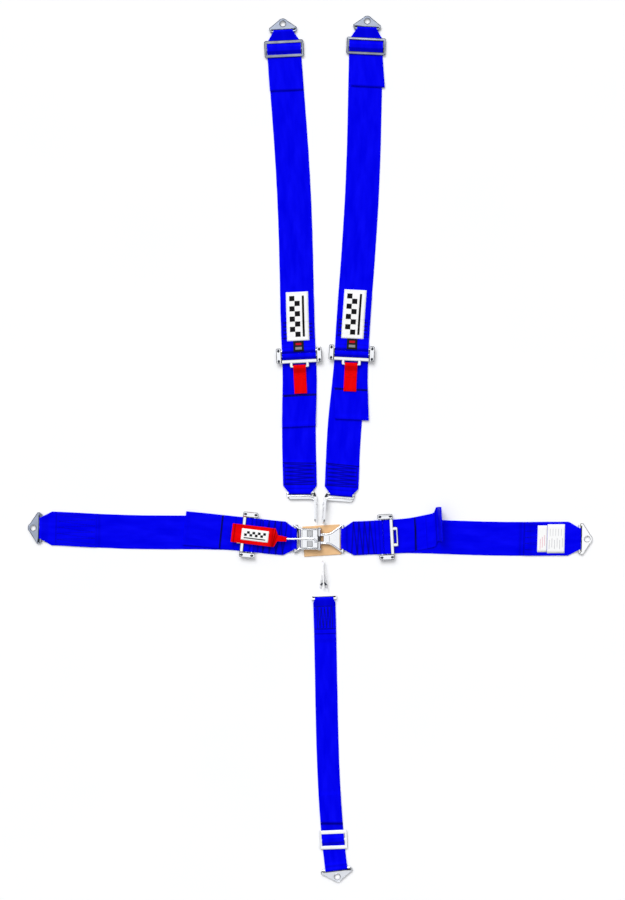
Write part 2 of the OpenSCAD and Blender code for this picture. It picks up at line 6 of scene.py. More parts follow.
import bmesh
import bpy
import numpy as np
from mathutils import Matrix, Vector

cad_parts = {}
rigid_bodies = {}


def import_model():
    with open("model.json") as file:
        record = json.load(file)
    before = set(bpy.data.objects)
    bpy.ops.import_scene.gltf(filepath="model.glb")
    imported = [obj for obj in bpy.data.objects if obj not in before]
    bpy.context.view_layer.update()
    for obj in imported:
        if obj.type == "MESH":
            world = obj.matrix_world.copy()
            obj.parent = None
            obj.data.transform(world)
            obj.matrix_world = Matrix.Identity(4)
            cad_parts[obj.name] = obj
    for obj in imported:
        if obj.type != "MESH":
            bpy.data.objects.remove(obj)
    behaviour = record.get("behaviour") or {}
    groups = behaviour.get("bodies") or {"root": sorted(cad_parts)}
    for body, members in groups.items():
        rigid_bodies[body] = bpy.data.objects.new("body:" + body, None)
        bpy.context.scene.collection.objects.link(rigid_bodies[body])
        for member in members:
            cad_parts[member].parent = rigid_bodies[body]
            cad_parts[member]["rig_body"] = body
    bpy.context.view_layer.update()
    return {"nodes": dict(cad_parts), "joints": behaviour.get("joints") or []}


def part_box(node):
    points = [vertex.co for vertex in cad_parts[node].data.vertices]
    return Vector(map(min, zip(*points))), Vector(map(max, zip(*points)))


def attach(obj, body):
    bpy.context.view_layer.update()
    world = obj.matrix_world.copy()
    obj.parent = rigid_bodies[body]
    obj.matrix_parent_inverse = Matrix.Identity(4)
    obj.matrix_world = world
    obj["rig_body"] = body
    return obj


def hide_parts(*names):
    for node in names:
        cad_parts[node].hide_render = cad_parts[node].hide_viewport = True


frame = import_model()

MM = 0.001
JOINTS = {j["name"]: j for j in frame["joints"]}
UP = Vector((0, 0, 1))

# Sizes shared with the CAD, in millimetres
WEB, NARROW = 76.0, 50.0
WEB_T, GAP = 1.3, 0.15
Z0 = WEB_T / 2
Z1 = Z0 + WEB_T + GAP
Z2 = Z1 + WEB_T + GAP
BAR_R, PLATE_BAR_R = 3.0, 2.5
EYE = BAR_R + GAP + WEB_T / 2
PLATE_EYE = PLATE_BAR_R + GAP + WEB_T / 2
BAR_Z, PLATE_BAR_Z = Z0 + EYE, Z0 + PLATE_EYE
WRAP_TOP = 1.4 + 2 * BAR_R + 0.1 + WEB_T / 2
SLIDE_T, SLIDE_S = 2.5, 39.0
SLIDE_TOP = Z1 + Z0 + 0.35 + SLIDE_T + 0.1
LATCH_BAR = 32.5  # from the latch's webbing bar to the middle of the buckle
BELTS = ("left_lap", "right_lap", "left_shoulder", "right_shoulder")
HEM = {"left_lap": 60, "right_lap": 64, "left_shoulder": 86.5, "right_shoulder": 78.5}  # along each free end

# How far webbing rises and dips, in millimetres
RIPPLE, DENT, BAND = 0.12, 0.5, 0.45


# ---- materials ----

class Nodes:
    """Short calls that build a node tree."""

    def __init__(self, name):
        self.material = bpy.data.materials.new(name)
        self.material.use_nodes = True
        self.tree = self.material.node_tree
        self.shader = self.tree.nodes["Principled BSDF"]

    def add(self, kind, **values):
        node = self.tree.nodes.new(kind)
        for key, value in values.items():
            if key in node.inputs:
                self.link(value, node.inputs[key])
            else:
                setattr(node, key, value)
        return node

    def link(self, value, socket):
        if isinstance(value, bpy.types.NodeSocket):
            self.tree.links.new(value, socket)
        else:
            socket.default_value = value

    def math(self, operation, a, b=0.0):
        node = self.tree.nodes.new("ShaderNodeMath")
        node.operation = operation
        self.link(a, node.inputs[0])
        self.link(b, node.inputs[1])
        return node.outputs[0]

    def noise(self, vector, scale, detail=3.0, rough=0.55):
        node = self.add("ShaderNodeTexNoise", Vector=vector, Scale=scale, Detail=detail, Roughness=rough)
        return node.outputs["Fac"]

    def ramp(self, fac, low, high, top=1.0):
        """Black up to low, then rising to a grey at high."""
        node = self.add("ShaderNodeValToRGB", Fac=fac)
        for element, place, shade in zip(node.color_ramp.elements, (low, high), (0.0, top)):
            element.position, element.color = place, (shade, shade, shade, 1)
        return node.outputs["Color"]

    def mix(self, fac, a, b):
        node = self.tree.nodes.new("ShaderNodeMix")
        node.data_type = "RGBA"
        for value, index in ((fac, 0), (a, 6), (b, 7)):
            self.link((*value, 1) if isinstance(value, tuple) and len(value) == 3 else value, node.inputs[index])
        return node.outputs[2]

    def place(self):
        return self.add("ShaderNodeTexCoord").outputs["Object"]

    def bump(self, height, distance, strength=1.0, below=None):
        node = self.add("ShaderNodeBump", Height=height, Distance=distance, Strength=strength)
        if below is not None:
            self.link(below, node.inputs["Normal"])
        return node.outputs["Normal"]

    def finish(self, **values):
        for key, value in values.items():
            self.link(value, self.shader.inputs[key.replace("_", " ")])
        return self.material


def woven(name, colour, rib=1.9, pick=1.3, depth=0.00016, gloss=0.3):
    """Webbing: ribs along the belt whose picks step from rib to rib, as in a narrow twill."""
    n = Nodes(name)
    uv = n.add("ShaderNodeUVMap", uv_map="Cloth").outputs["UV"]
    split = n.add("ShaderNodeSeparateXYZ", Vector=uv)
    across, along = split.outputs["X"], split.outputs["Y"]
    column = n.math("MULTIPLY", across, 1 / (rib * MM))
    round_rib = n.math("POWER", n.math("ABSOLUTE", n.math("SINE", n.math("MULTIPLY", column, math.pi))), 0.7)
    step = n.math("MULTIPLY", n.math("FLOOR", column), math.pi * 0.5)
    phase = n.math("ADD", n.math("MULTIPLY", along, 2 * math.pi / (pick * MM)), step)
    picks = n.math("ADD", n.math("MULTIPLY", n.math("SINE", phase), 0.5), 0.5)
    height = n.math("MULTIPLY", round_rib, n.math("ADD", n.math("MULTIPLY", picks, 0.45), 0.55))
    place = n.add("ShaderNodeMapping", Vector=uv, Scale=(1.0, 0.22, 1.0)).outputs["Vector"]
    fade = n.noise(place, 60.0, 4.0)
    fuzz = n.noise(uv, 2400.0, 2.0)
    dark = tuple(c * 0.62 for c in colour)
    light = tuple(min(1.0, c * 1.12 + 0.004) for c in colour)
    # Painted shade in the weave: the valleys between ribs are mixed towards dark
    body = n.mix(height, dark, colour)
    body = n.mix(n.ramp(fade, 0.35, 0.72, 0.7), body, light)
    body = n.mix(n.math("MULTIPLY", fuzz, 0.22), body, dark)
    # Painted shade: the crease value darkens the webbing almost to black in seam grooves and folds; pressed webbing is
    # also a little darker there
    crease_shade = n.add("ShaderNodeAttribute", attribute_name="CreaseShade").outputs["Fac"]
    body = n.mix(crease_shade, body, tuple(c * 0.04 for c in colour))
    tall = n.math("ADD", height, n.math("MULTIPLY", fuzz, 0.25))
    rough = n.math("ADD", n.math("MULTIPLY", fuzz, 0.18), 0.55)
    tint = tuple(max(0.03, c / max(colour)) for c in colour)
    return n.finish(Base_Color=body, Roughness=rough, Normal=n.bump(tall, depth, 0.8),
                    Specular_IOR_Level=gloss, Specular_Tint=(*tint, 1), Sheen_Weight=0.05, Sheen_Roughness=0.4,
                    Sheen_Tint=(*tint, 1))


def metal(name, colour, rough, mottle=0.08, scratch=0.06, shadow=None, metallic=1.0):
    """Plated steel: soft mottling, fine scratches and a little waviness in the polish. shadow paints shade into it,
    darkening it from one height in mm down to another."""
    n = Nodes(name)
    place = n.place()
    cloud = n.noise(place, 55.0, 4.0)
    fine = n.add("ShaderNodeMapping", Vector=place, Scale=(40.0, 40.0, 40.0)).outputs["Vector"]
    lines = n.noise(fine, 30.0, 5.0, 0.7)
    dim = tuple(c * (1 - 2.2 * mottle) for c in colour)
    body = n.mix(n.ramp(cloud, 0.3, 0.7), dim, colour)
    body = n.mix(n.math("MULTIPLY", lines, 0.18), body, tuple(c * 0.72 for c in colour))
    # Painted shade: the colour goes darker below shadow[0] mm, most at shadow[1] mm and under
    if shadow:
        height = n.add("ShaderNodeSeparateXYZ", Vector=place).outputs["Z"]
        depth = n.math("DIVIDE", n.math("SUBTRACT", shadow[0] * MM, height), (shadow[0] - shadow[1]) * MM)
        body = n.mix(n.ramp(depth, 0.0, 1.0, 0.45), body, tuple(c * 0.06 for c in colour))
    roughness = n.math("ADD", n.math("MULTIPLY", lines, scratch * 2), rough - scratch)
    wave = n.bump(cloud, 0.0006, 0.35)
    return n.finish(Base_Color=body, Metallic=metallic, Roughness=roughness, Normal=n.bump(lines, 0.00005, 0.5, wave))


def suede(name, colour):
    """Leather with a short nap, blotches and pores."""
    n = Nodes(name)
    place = n.place()
    nap = n.noise(place, 900.0, 5.0, 0.7)
    blotch = n.noise(place, 45.0, 4.0)
    pores = n.add("ShaderNodeTexVoronoi", Vector=place, Scale=1400.0).outputs["Distance"]
    body = n.mix(n.ramp(blotch, 0.3, 0.72), tuple(c * 0.84 for c in colour), colour)
    body = n.mix(n.math("MULTIPLY", nap, 0.35), body, tuple(c * 0.7 for c in colour))
    tall = n.math("ADD", nap, n.math("MULTIPLY", pores, 0.6))
    return n.finish(Base_Color=body, Roughness=0.82, Normal=n.bump(tall, 0.0002, 0.7), Specular_IOR_Level=0.25,
                    Sheen_Weight=0.2, Sheen_Roughness=0.5)


def printed(name, ground, marks, checks=None):
    """A woven label. A mark is a plain bar: (across, along, half width, half length, colour), as shares of the label.
    checks turns the first bar into that many squares across and along."""
    n = Nodes(name)
    uv = n.add("ShaderNodeUVMap", uv_map="Print").outputs["UV"]
    split = n.add("ShaderNodeSeparateXYZ", Vector=uv)
    cloth = n.add("ShaderNodeUVMap", uv_map="Cloth").outputs["UV"]
    threads = n.add("ShaderNodeSeparateXYZ", Vector=cloth)
    warp = n.math("SINE", n.math("MULTIPLY", threads.outputs["X"], 2 * math.pi / (0.7 * MM)))
    weft = n.math("SINE", n.math("MULTIPLY", threads.outputs["Y"], 2 * math.pi / (0.7 * MM)))
    weave = n.math("MULTIPLY", warp, weft)
    wear = n.noise(cloth, 700.0, 3.0)
    body = n.mix(n.math("MULTIPLY", wear, 0.3), ground, tuple(c * 0.86 for c in ground))
    for across, along, half_w, half_l, shade in marks:
        x, y = (n.math("SUBTRACT", split.outputs[axis], middle) for axis, middle in (("X", across), ("Y", along)))
        inside = n.math("MULTIPLY", n.math("LESS_THAN", n.math("ABSOLUTE", x), half_w),
                        n.math("LESS_THAN", n.math("ABSOLUTE", y), half_l))
        if checks:
            square = n.math("ADD", n.math("FLOOR", n.math("MULTIPLY", x, checks[0] / 2 / half_w)),
                            n.math("FLOOR", n.math("MULTIPLY", y, checks[1] / 2 / half_l)))
            inside = n.math("MULTIPLY", inside, n.math("FLOORED_MODULO", square, 2.0))
            checks = None
        body = n.mix(inside, body, shade)
    return n.finish(Base_Color=body, Roughness=0.6, Normal=n.bump(weave, 0.00004, 0.5), Specular_IOR_Level=0.08)


def thread(name, colour):
    """Sewing thread, a little fuzzy."""
    n = Nodes(name)
    place = n.place()
    fuzz = n.noise(place, 3000.0, 3.0)
    body = n.mix(fuzz, tuple(c * 0.6 for c in colour), tuple(min(1, c * 1.3 + 0.01) for c in colour))
    return n.finish(Base_Color=body, Roughness=0.6, Normal=n.bump(fuzz, 0.0001, 0.6), Specular_IOR_Level=0.0)


BLUE = woven("webbing_blue", (0.0, 0.0, 0.95), gloss=0.16)
RED = woven("webbing_red", (0.92, 0.001, 0.002), rib=1.3, pick=1.0, gloss=0.12)
CHROME = metal("chrome", (0.88, 0.89, 0.91), 0.12, mottle=0.02, scratch=0.03)
# The latch base's chrome, with painted shade below 9 mm so its low plate looks shaded
SHADED_BASE_CHROME = metal("chrome_base_painted_shade", (0.88, 0.89, 0.91), 0.12, mottle=0.02, scratch=0.03, shadow=(9.0, 5.0))
BRIGHT = metal("bright_plate", (0.95, 0.95, 0.95), 0.28, mottle=0.01, scratch=0.04)
ZINC = metal("zinc_plate", (0.36, 0.4, 0.49), 0.3, mottle=0.1, scratch=0.08)
# Dark colours for the rims of the hardware: painted dark reflection along chamfered edges and upright sides
CHROME_EDGE_REFLECTION = metal("chrome_edge_painted_reflection", (0.12, 0.15, 0.21), 0.2, mottle=0.15, scratch=0.04)
SATIN = metal("satin_plate", (0.97, 0.97, 0.98), 0.42, mottle=0.01, scratch=0.04, metallic=0.4)
PALE_ZINC = metal("zinc_pale", (0.76, 0.78, 0.82), 0.3, mottle=0.06, scratch=0.08)
SLIDE_ZINC = metal("slide_zinc", (0.24, 0.26, 0.31), 0.3, mottle=0.16, scratch=0.08)
ZINC_EDGE_REFLECTION = metal("zinc_edge_painted_reflection", (0.09, 0.1, 0.14), 0.3)
DARK_STEEL = metal("dark_steel", (0.16, 0.16, 0.17), 0.35)
# Near-black strips laid in bends of polished metal: painted dark reflection, not parts of the harness
DARK_BEND_REFLECTION = metal("chrome_bend_painted_reflection", (0.05, 0.055, 0.07), 0.3)
LEATHER = suede("leather_tan", (0.88, 0.55, 0.28))
THREAD = thread("thread_black", (0.002, 0.002, 0.012))
BLUE_THREAD = thread("thread_blue", (0.0, 0.0, 0.2))
RED_THREAD = thread("thread_red", (0.5, 0.0, 0.0))
WHITE_THREAD = thread("thread_white", (0.8, 0.8, 0.8))
WHITE, INK, GREY, PINK = (0.93, 0.93, 0.92), (0.004, 0.004, 0.005), (0.42, 0.42, 0.45), (0.8, 0.42, 0.5)
LABEL = printed("label_shoulder", WHITE, [(0.38, 0.5, 0.235, 0.42, INK), (0.76, 0.5, 0.05, 0.42, INK)], (2, 8))
PULL_LABEL = printed("label_pull", WHITE, [(0.42, 0.5, 0.22, 0.4, INK), (0.8, 0.5, 0.05, 0.4, INK)], (2, 8))
CARE_LABEL = printed("label_care", WHITE, [(0.3 + 0.06 * (k % 2), 0.12 + 0.15 * k, 0.16, 0.012, GREY) for k in range(6)]
                     + [(0.72, 0.16 + 0.16 * k, 0.12, 0.01, GREY) for k in range(5)])
DATE_LABEL = printed("label_date", WHITE, [(0.3 + 0.07 * k, 0.3 + 0.22 * k, 0.2, 0.03, PINK) for k in range(3)])
TAG = printed("tag_black", (0.008, 0.008, 0.009), [(0.5, 0.28, 0.26, 0.1, (0.5, 0.0, 0.01)),
                                                   (0.5, 0.68, 0.3, 0.12, (0.22, 0.22, 0.24))])


# ---- objects ----

def added(name, data):
    """A new object in the scene."""
    obj = bpy.data.objects.new(name, data)
    bpy.context.scene.collection.objects.link(obj)
    return obj


def solid(name, bm, material):
    """An object in the scene made of a finished bmesh."""
    mesh = bpy.data.meshes.new(name)
    bmesh.ops.recalc_face_normals(bm, faces=bm.faces)
    bm.to_mesh(mesh)
    bm.free()
    mesh.materials.append(material)
    return added(name, mesh)


# ---- curves ----

def clamp(t):
    return min(max(t, 0.0), 1.0)


def smooth(t):
    """From 0 to 1, slow at both ends."""
    t = clamp(t)
    return t * t * (3 - 2 * t)


def hinge_at(name, away=1):
    """A hinge's place in mm and the level direction its part runs in."""
    joint = JOINTS[name]
    return Vector(joint["pos_m"]) / MM, UP.cross(Vector(joint["axis"])).normalized() * away


def heading(degrees):
    yaw = math.radians(degrees)
    return Vector((math.cos(yaw), math.sin(yaw), 0))


def route(p0, d0, p1, d1, bow=0.0):
    """A belt's middle line in plan. s runs in mm from p0, straight on beyond either end; bow bends it to its left."""
    p0, p1 = p0.xy.to_3d(), p1.xy.to_3d()
    run = (p1 - p0).length

    def at(s, v=0.0):
        t = clamp(s / run)
        a, b = smooth(t), t * (1 - t)
        p = p0 * (1 - a) + p1 * a + (d0 * (1 - t) - d1 * t) * b * run
        da = 6 * t * (1 - t)
        d = (p1 - p0) * da / run + d0 * (1 - 4 * t + 3 * t * t) + d1 * (3 * t * t - 2 * t)
        d.normalize()
        if s < 0:
            p = p + d0 * s
        if s > run:
            p = p + d1 * (s - run)
        side = UP.cross(d)
        return p + side * (v + bow * 16 * b * b)

    at.run = run
    return at


def veer(at, start, degrees, reach=60.0):
    """A line that leaves a route after start and turns away over reach."""
    slope = math.tan(math.radians(degrees))

    def line(s, v=0.0):
        over = max(0.0, s - start)
        drift = over * over / (2 * reach) if over < reach else over - reach / 2
        return at(s, v + slope * drift)

    line.run = at.run
    return line


def stepped(at, start, over, reach):
    """A line that steps reach to its left between start and start + over."""
    def line(s, v=0.0):
        return at(s, v + reach * smooth((s - start) / over))

    line.run = at.run
    return line


def rounded(corners, arc=14.0):
    """A smooth line through corners given as (s, z, radius), with a point every 14 degrees or so of a bend."""
    points = [Vector(c[:2]) for c in corners]
    line = [points[0]]
    for before, here, after, (_, _, radius) in zip(points, points[1:], points[2:], corners[1:-1]):
        u, v = (before - here).normalized(), (after - here).normalized()
        half = math.acos(max(-1.0, min(1.0, u.dot(v)))) / 2
        if radius <= 0 or half > math.radians(89.5):
            line.append(here)
            continue
        middle = here + (u + v).normalized() * radius / math.sin(half)
        first, last = here + u * radius / math.tan(half) - middle, here + v * radius / math.tan(half) - middle
        start = math.atan2(first.y, first.x)
        sweep = (math.atan2(last.y, last.x) - start + 3 * math.pi) % (2 * math.pi) - math.pi
        count = max(2, round(abs(math.degrees(sweep)) / arc))
        line += [middle + radius * Vector((math.cos(start + sweep * k / count), math.sin(start + sweep * k / count)))
                 for k in range(count + 1)]
    return line + [points[-1]]


def resampled(line, step):
    """The same line with long stretches cut up; fine where step(s) is small."""
    out = [line[0]]
    for a, b in zip(line, line[1:]):
        length = (b - a).length
        if length < 1e-3:
            continue
        count = max(1, math.ceil(length / step((a.x + b.x) / 2)))
        if count > 1:
            spots, x = [], 0.0
            while x < length:
                x += step(a.x + (b.x - a.x) * x / length)
                spots.append(min(x, length))
            spots = [q for q in spots if length - q > 0.4] + [length]
        else:
            spots = [length]
        out += [a.lerp(b, q / length) for q in spots]
    return out


def tapered(full, ends, over=24.0):
    """Half width along a belt: full, but narrowed to each eye in ends, given as (s of bar, way in, eye width)."""
    def half(s):
        w = full / 2
        for bar, way, eye in ends:
            t = clamp((s - bar) * way / over)
            w = min(w, eye / 2 + (full - eye) / 2 * t)
        return w
    return half


# Where across the belt its mesh lines run, and how thick it is there: the selvedge is round
EDGE = [(1.0, 0.30), (0.992, 0.72), (0.975, 0.97), (0.95, 1.04), (0.91, 1.0)]
COLUMNS = [(-v, t) for v, t in EDGE] + [(v, 1.0) for v in np.linspace(-0.82, 0.82, 15)] + EDGE[::-1]


def wobble(seed):
    """A gentle, repeatable unevenness along a belt, from -1 to 1."""
    dice = random.Random(seed)
    waves = [(dice.uniform(0.7, 1.0) / (k + 1), dice.uniform(45, 140) / (k + 1), dice.uniform(0, 6.28))
             for k in range(4)]
    total = sum(w[0] for w in waves)
    return lambda s, v=0.0: sum(a * math.sin(s / l * 6.28 + p + v * 0.012 * (k + 1))
                                for k, (a, l, p) in enumerate(waves)) / total


class Belt:
    """A length of webbing that stands for the node it is named after: a side profile swept across, laid along one
    route, or two where it folds back on itself."""

    def __init__(self, name, body, corners, legs, half, material, seed, thickness=WEB_T, fine=(), dents=(),
                 bands=(), lift=None, flat=None, slot="belt_webbing", step=5.0):
        self.body, self.half, self.t, self.dents, self.bands = body, half, thickness, dents, bands
        fine = list(fine) + [(s - 3 * w - 1, s + 3 * w + 1) for _, s, w, _, _ in bands]
        self.line = resampled(rounded(corners), lambda s: 1.3 if any(a <= s <= b for a, b in fine) else step)
        self.legs = legs if isinstance(legs, (list, tuple)) else [legs]
        self.turn = min(range(len(self.line)), key=lambda i: self.line[i].x) if len(self.legs) > 1 else 0
        self.lift = lift or (lambda s, v, leg: 0.0)
        self.wave = wobble(seed)
        self.object = self.build(name, material)
        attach(self.object, body)
        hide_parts(name)

    def leg(self, i):
        return 0 if len(self.legs) == 1 or i < self.turn else 1

    def normal(self, i):
        p = self.line
        t = Vector((0, 0))
        if i > 0:
            t += (p[i] - p[i - 1]).normalized()
        if i < len(p) - 1:
            t += (p[i + 1] - p[i]).normalized()
        t.normalize()
        return Vector((-t.y, t.x))

    def dent(self, s, v):
        deep = 0.0
        for (s0, v0), (s1, v1) in self.dents:
            ds, dv = s1 - s0, v1 - v0
            t = clamp(((s - s0) * ds + (v - v0) * dv) / (ds * ds + dv * dv))
            d2 = (s - s0 - t * ds) ** 2 + (v - v0 - t * dv) ** 2
            if d2 < 30:
                deep = max(deep, math.exp(-d2 / 1.7))
        return deep

    def band(self, s, v, leg):
        """Grooves and folds that run right across, with painted shade in them: (leg, s, half width, strength, tilt
        across the belt).
        """
        return min(1.0, sum(k * math.exp(-((s - at - tilt * v) / w) ** 2)
                            for on, at, w, k, tilt in self.bands if on == leg))

    def place(self, i, v, off):
        """A point v mm across the belt at station i, off mm to the profile's own normal side."""
        p, n, leg = self.line[i], self.normal(i), self.leg(i)
        s, z = p.x + n.x * off, p.y + n.y * off
        top = n.y * off > 0
        flat = abs(n.y)
        z += self.lift(p.x, v, leg) * flat
        if top:
            z += RIPPLE * flat * (self.wave(p.x, v) + 1)
            z -= (DENT * self.dent(p.x, v) + BAND * self.band(p.x, v, leg)) * flat
        xy = self.legs[leg](s, v * (1 + 0.004 * self.wave(p.x + 300 * math.copysign(1, v))))
        return Vector((xy.x, xy.y, max(z, 0.02))) * MM

    def build(self, name, material):
        bm = bmesh.new()
        cloth = bm.loops.layers.uv.new("Cloth")
        crease_shade = bm.verts.layers.float.new("CreaseShade")
        rings, lengths, total = [], [], 0.0
        for i, p in enumerate(self.line):
            if i:
                total += (p - self.line[i - 1]).length
            lengths.append(total)
            w = self.half(p.x)
            ring = [(v * w, self.t / 2 * k) for v, k in COLUMNS] + [(v * w, -self.t / 2 * k) for v, k in COLUMNS[::-1]]
            rings.append([(bm.verts.new(self.place(i, v, off)), v) for v, off in ring])
            up, leg = self.normal(i).y, self.leg(i)
            # On the top face the crease value carries painted shade for the grooves and folds
            for (vert, v), (_, off) in zip(rings[-1], ring):
                if off * up > 0:
                    vert[crease_shade] = max(0.62 * self.dent(p.x, v), 0.9 * self.band(p.x, v, leg))
        self.length = total
        count = len(rings[0])

        def face(corners):
            made = bm.faces.new([c[0] for c in corners])
            made.smooth = True
            for loop, c in zip(made.loops, corners):
                loop[cloth].uv = (c[1] * MM, c[2] * MM)

        for i in range(len(rings) - 1):
            a, b, la, lb = rings[i], rings[i + 1], lengths[i], lengths[i + 1]
            for j in range(count):
                k = (j + 1) % count
                face([(*a[j], la), (*a[k], la), (*b[k], lb), (*b[j], lb)])
        half = count // 2
        for ring, length, flip in ((rings[0], lengths[0], True), (rings[-1], lengths[-1], False)):
            for j in range(half - 1):
                q = [ring[j], ring[j + 1], ring[count - 2 - j], ring[count - 1 - j]]
                face([(*c, length) for c in (q[::-1] if flip else q)])
        return solid(name, bm, material)

    def top(self, s, v, leg=0, off=0.0):
        """A point on the highest layer at s, in metres."""
        best = None
        for i in range(len(self.line) - 1):
            a, b = self.line[i], self.line[i + 1]
            if self.leg(i) == leg and min(a.x, b.x) <= s <= max(a.x, b.x) and abs(b.x - a.x) > 1e-6:
                t = (s - a.x) / (b.x - a.x)
                z = a.y + (b.y - a.y) * t
                if best is None or z > best:
                    best = z
        z = (best or Z0) + self.t / 2 + self.lift(s, v, leg) + RIPPLE * (self.wave(s, v) + 1)
        z -= DENT * self.dent(s, v) + BAND * self.band(s, v, leg)
        xy = self.legs[leg](s, v)
        return Vector((xy.x, xy.y, z + off)) * MM


# ---- thread ----

# Along a stitch: (share of its length, share of its radius, rise in radii)
STITCH = ((0.0, 0.45, -0.75), (0.12, 0.9, -0.15), (0.5, 1.0, 0.1), (0.88, 0.9, -0.15), (1.0, 0.45, -0.75))


def sew(name, body, material, paths, pitch=3.4, radius=0.36, share=0.72):
    """One stitch after another along each path of points in metres: each a little capsule that dips at its ends."""
    bm = bmesh.new()
    sides = 6
    for path in paths:
        seg = [(b - a).length for a, b in zip(path, path[1:])]
        total = sum(seg)
        count = max(1, round(total / (pitch * MM)))

        def point(x):
            for a, b, l in zip(path, path[1:], seg):
                if x <= l or l == seg[-1] and b is path[-1]:
                    return a.lerp(b, min(1.0, x / l if l else 0))
                x -= l
            return path[-1]

        for k in range(count):
            a = point(total * (k + (1 - share) / 2) / count)
            b = point(total * (k + 1 - (1 - share) / 2) / count)
            axis = b - a
            if axis.length < 1e-5:
                continue
            axis.normalize()
            side = axis.cross(UP).normalized()
            over = side.cross(axis)
            rings = []
            for t, r, dip in STITCH:
                c = a.lerp(b, t) + over * dip * radius * MM
                rings.append([bm.verts.new(c + (side * math.cos(w) + over * math.sin(w)) * r * radius * MM)
                              for w in (2 * math.pi * q / sides for q in range(sides))])
            for low, high in zip(rings, rings[1:]):
                for q in range(sides):
                    bm.faces.new((low[q], low[(q + 1) % sides], high[(q + 1) % sides], high[q])).smooth = True
            bm.faces.new(rings[0][::-1])
            bm.faces.new(rings[-1])
    obj = solid(name, bm, material)
    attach(obj, body)


def on_belt(belt, points, leg=0, every=3.0, off=0.1):
    """A path over a belt's top through (s, v) points."""
    out = []
    for (s0, v0), (s1, v1) in zip(points, points[1:]):
        count = max(1, round(math.hypot(s1 - s0, v1 - v0) / every))
        out += [belt.top(s0 + (s1 - s0) * k / count, v0 + (v1 - v0) * k / count, leg, off) for k in range(count)]
    return out + [belt.top(*points[-1], leg, off)]


def zigzag(s0, s1, half, strokes):
    """The strokes of a W seam: across the belt and back, a little further on each time."""
    spots = [(s0 + (s1 - s0) * k / strokes, half if k % 2 else -half) for k in range(strokes + 1)]
    return list(zip(spots, spots[1:]))


def zigzag_along(s0, s1, half, strokes):
    """The same, but up and down the belt."""
    spots = [(s1 if k % 2 else s0, half * (2 * k / strokes - 1)) for k in range(strokes + 1)]
    return list(zip(spots, spots[1:]))


def frame_of(s0, s1, half):
    """The outline of a box seam."""
    return [(s0, -half), (s0, half), (s1, half), (s1, -half), (s0, -half)]


# ---- hardware: the CAD's shapes with their edges eased, and bent rods added to them ----

def chamfered(bm, width):
    """Slope the rim of every level top face that is wide enough, and mark the slopes and upright sides for the rim
    material, a painted reflection.
    """
    bm.faces.ensure_lookup_table()
    level = {f for f in bm.faces if f.normal.z > 0.9999}
    while level:
        group, todo = set(), [level.pop()]
        while todo:
            face = todo.pop()
            group.add(face)
            near = {f for e in face.edges for f in e.link_faces} & level
            level -= near
            todo += near
        rim = [e for f in group for e in f.edges if any(g not in group for g in e.link_faces)]
        if sum(f.calc_area() for f in group) < 1.3 * width * MM * sum(e.calc_length() for e in rim):
            continue
        corners = {v for e in rim for v in e.verts}
        bmesh.ops.inset_region(bm, faces=list(group), thickness=width * MM, use_even_offset=True, use_boundary=True)
        for v in corners:
            if v.is_valid:
                v.co.z -= 0.75 * width * MM
    bm.normal_update()
    for e in bm.edges:
        e.smooth = len(e.link_faces) != 2 or e.calc_face_angle(0) < math.radians(30)
    for f in bm.faces:
        f.material_index = int(f.normal.z < 0.9)


def eased(node, material, edge, rim=None):
    """A copy of a CAD node with softened edges that stands for it. rim is for its edges and upright sides: a dark rim
    is painted dark reflection, a bright one a painted highlight.
    """
    source = frame["nodes"][node]
    mesh = source.data.copy()
    bm = bmesh.new()
    bm.from_mesh(mesh)
    bmesh.ops.remove_doubles(bm, verts=bm.verts, dist=2e-6)
    bmesh.ops.dissolve_limit(bm, angle_limit=math.radians(0.6), verts=bm.verts, edges=bm.edges)
    for f in bm.faces:
        f.smooth, f.material_index = True, 0
    if rim:
        chamfered(bm, edge)
    bm.to_mesh(mesh)
    bm.free()
    mesh.materials.clear()
    for look in (material, rim) if rim else (material,):
        mesh.materials.append(look)
    obj = added(node + "_finished", mesh)
    if not rim:
        bevel = obj.modifiers.new("edges", "BEVEL")
        bevel.width, bevel.segments, bevel.limit_method = edge * MM, 3, "ANGLE"
        bevel.angle_limit, bevel.harden_normals, bevel.use_clamp_overlap = math.radians(32), True, True
    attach(obj, source["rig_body"])
    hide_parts(node)


# Rims in a darker second material, the slide zinc on the right lap anchor among them, are painted dark reflection along
# the edges
for belt in BELTS:
    eased(f"{belt}_adjuster_frame", CHROME, 1.2, CHROME_EDGE_REFLECTION)
    eased(f"{belt}_adjuster_fixed_bar", CHROME, 0.4, CHROME_EDGE_REFLECTION)
    eased(f"{belt}_adjuster_sliding_bar", ZINC, 0.4)
    eased(f"{belt}_anchor", BRIGHT if belt == "right_lap" else ZINC, 1.1,
          SLIDE_ZINC if belt == "right_lap" else ZINC_EDGE_REFLECTION)
for side in ("left", "right"):
    # The bright rim on each dark slide is a painted highlight along its edges
    eased(f"{side}_shoulder_slide", SLIDE_ZINC, 1.1, BRIGHT)
    eased(f"{side}_shoulder_fitting", CHROME, 1.2, CHROME_EDGE_REFLECTION)
eased("crotch_slide", BRIGHT, 0.7)
eased("crotch_fitting", SATIN, 0.5)
eased("crotch_anchor", PALE_ZINC, 1.1, ZINC_EDGE_REFLECTION)
# Painted shade low on the latch base, under the lever's windows
eased("latch_base", SHADED_BASE_CHROME, 0.9, CHROME_EDGE_REFLECTION)
eased("latch_stud", CHROME, 0.4)
eased("latch_lever", CHROME, 0.9, CHROME_EDGE_REFLECTION)
eased("lever_rod", CHROME, 0.25)
eased("lever_pin", CHROME, 0.4)
eased("lever_pin_clips", DARK_STEEL, 0.15)
eased("lever_spring", DARK_STEEL, 0.1)
eased("link", CHROME, 0.8, CHROME_EDGE_REFLECTION)


